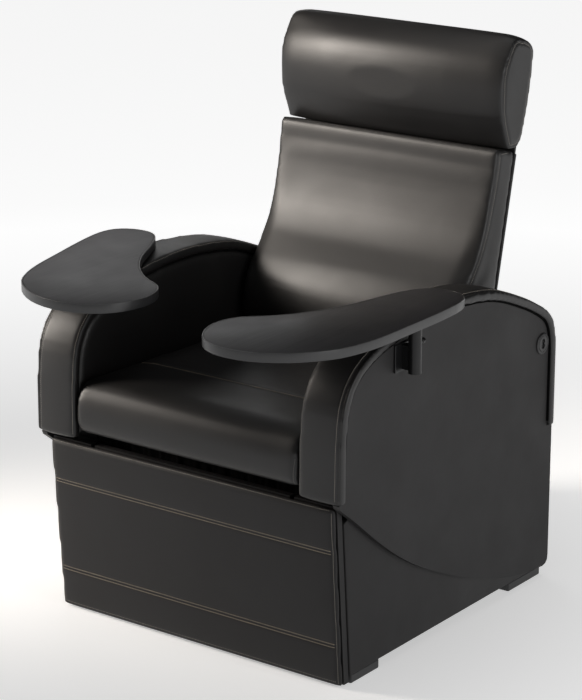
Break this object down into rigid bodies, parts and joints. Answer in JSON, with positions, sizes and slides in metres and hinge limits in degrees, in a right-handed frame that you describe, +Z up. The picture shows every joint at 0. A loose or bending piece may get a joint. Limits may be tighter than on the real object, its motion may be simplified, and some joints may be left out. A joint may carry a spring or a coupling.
{
  "type": "pedicure spa chair",
  "caption": "Black upholstered salon armchair on a boxed base, with swivelling side trays, a reclining back with a sliding headrest, and a coupled leg rest.",
  "frame": {"origin": "on the floor under the middle of the chair's bounding box", "axes": "+Z up, the sitter faces -Y, +X is the right-hand side seen from in front (the side with the switch)"},
  "size_m": [0.9112, 1.0158, 1.165],
  "materials": {
    "upholstered_foam": "satin",
    "vinyl_covered_board": "matte",
    "tray_laminate": "matte",
    "tray_edging": "satin",
    "plywood": "matte",
    "black_steel": "satin",
    "zinc_plated_steel": "satin",
    "black_plastic": "matte",
    "switch_plastic": "satin",
    "dust_cloth": "matte"
  },
  "bodies": {
    "chair": {"actuator_anchor": "black_steel", "actuator_motor": "black_plastic", "actuator_tube": "black_steel", "arm_band_left": "vinyl_covered_board", "arm_band_right": "vinyl_covered_board", "arm_frame_left": "plywood", "arm_frame_right": "plywood", "arm_inner_pad_left": "upholstered_foam", "arm_inner_pad_right": "upholstered_foam", "back_hinge_bolt_left": "zinc_plated_steel", "back_hinge_bolt_right": "zinc_plated_steel", "back_hinge_bracket_left": "black_steel", "back_hinge_bracket_right": "black_steel", "base_floor_board": "plywood", "base_front_rail": "plywood", "base_rear_panel": "vinyl_covered_board", "base_side_left": "vinyl_covered_board", "base_side_right": "vinyl_covered_board", "control_box": "black_plastic", "foot_front_left": "black_plastic", "foot_front_right": "black_plastic", "foot_rear_left": "black_plastic", "foot_rear_right": "black_plastic", "front_liner": "dust_cloth", "leg_rest_bracket_left": "black_steel", "leg_rest_bracket_right": "black_steel", "power_inlet": "black_plastic", "seat_board": "plywood", "seat_cushion": "upholstered_foam", "side_panel_left": "vinyl_covered_board", "side_panel_right": "vinyl_covered_board", "switch_bezel": "switch_plastic", "switch_housing": "black_plastic", "tray_bracket_left": "black_steel", "tray_bracket_right": "black_steel"},
    "back": {"back_board": "plywood", "back_cushion": "upholstered_foam", "back_rear_cover": "upholstered_foam", "back_pivot_frame": "black_steel", "headrest_guide_left": "black_plastic", "headrest_guide_right": "black_plastic"},
    "headrest": {"headrest_cushion": "upholstered_foam", "headrest_flap": "upholstered_foam", "headrest_post_left": "black_steel", "headrest_post_right": "black_steel"},
    "actuator_rod": {"actuator_rod": "zinc_plated_steel"},
    "recline_link": {"recline_link": "black_steel"},
    "leg_rest": {"leg_rest_board": "plywood", "leg_rest_pad": "upholstered_foam", "leg_rest_lever": "black_steel"},
    "tray_left": {"tray_board_left": "tray_laminate", "tray_edging_left": "tray_edging", "tray_post_left": "black_steel"},
    "tray_right": {"tray_board_right": "tray_laminate", "tray_edging_right": "tray_edging", "tray_post_right": "black_steel"},
    "tray_lock_left": {"tray_lock_knob_left": "black_plastic"},
    "tray_lock_right": {"tray_lock_knob_right": "black_plastic"},
    "recline_button": {"recline_button": "switch_plastic"},
    "raise_button": {"raise_button": "switch_plastic"}
  },
  "joints": [
    {"name": "back_recline", "type": "hinge", "parent": "chair", "child": "back", "pos_m": [0, 0.323, 0.45], "axis": [-1, 0, 0], "range_deg": [0, 30]},
    {"name": "leg_rest_swing", "type": "hinge", "parent": "chair", "child": "leg_rest", "pos_m": [0, -0.285, 0.358], "axis": [-1, 0, 0], "range_deg": [0, 75]},
    {"name": "actuator_stroke", "type": "slide", "parent": "chair", "child": "actuator_rod", "axis": [0, -0.8456, -0.5338], "range_m": [0, 0.03883]},
    {"name": "link_turn", "type": "hinge", "parent": "back", "child": "recline_link", "pos_m": [-0.02, 0.35949, 0.3138], "axis": [-1, 0, 0], "range_deg": [-30, 0]},
    {"name": "headrest_height", "type": "slide", "parent": "back", "child": "headrest", "axis": [0, 0.2199, 0.9755], "range_m": [0, 0.06]},
    {"name": "tray_right_swivel", "type": "hinge", "parent": "chair", "child": "tray_right", "pos_m": [0.4, -0.102, 0.7145], "axis": [0, 0, 1], "range_deg": [-16, 100]},
    {"name": "tray_left_swivel", "type": "hinge", "parent": "chair", "child": "tray_left", "pos_m": [-0.4, -0.102, 0.7145], "axis": [0, 0, -1], "range_deg": [0, 115]},
    {"name": "tray_lock_right_pull", "type": "slide", "parent": "chair", "child": "tray_lock_right", "axis": [0, 1, 0], "range_m": [0, 0.005], "stiffness_N_per_m": 200, "springref_m": -0.002},
    {"name": "tray_lock_left_pull", "type": "slide", "parent": "chair", "child": "tray_lock_left", "axis": [0, 1, 0], "range_m": [0, 0.005], "stiffness_N_per_m": 200, "springref_m": -0.002},
    {"name": "recline_button_push", "type": "slide", "parent": "chair", "child": "recline_button", "axis": [-1, 0, 0], "range_m": [0, 0.0015], "stiffness_N_per_m": 400, "springref_m": -0.001},
    {"name": "raise_button_push", "type": "slide", "parent": "chair", "child": "raise_button", "axis": [-1, 0, 0], "range_m": [0, 0.0015], "stiffness_N_per_m": 400, "springref_m": -0.001}
  ],
  "couplings": [
    {"joint": "leg_rest_swing", "follows": "back_recline", "ratio": 2.5},
    {"joint": "actuator_stroke", "follows": "back_recline", "m_per_rad": 0.07412},
    {"joint": "link_turn", "follows": "back_recline", "ratio": -1}
  ]
}
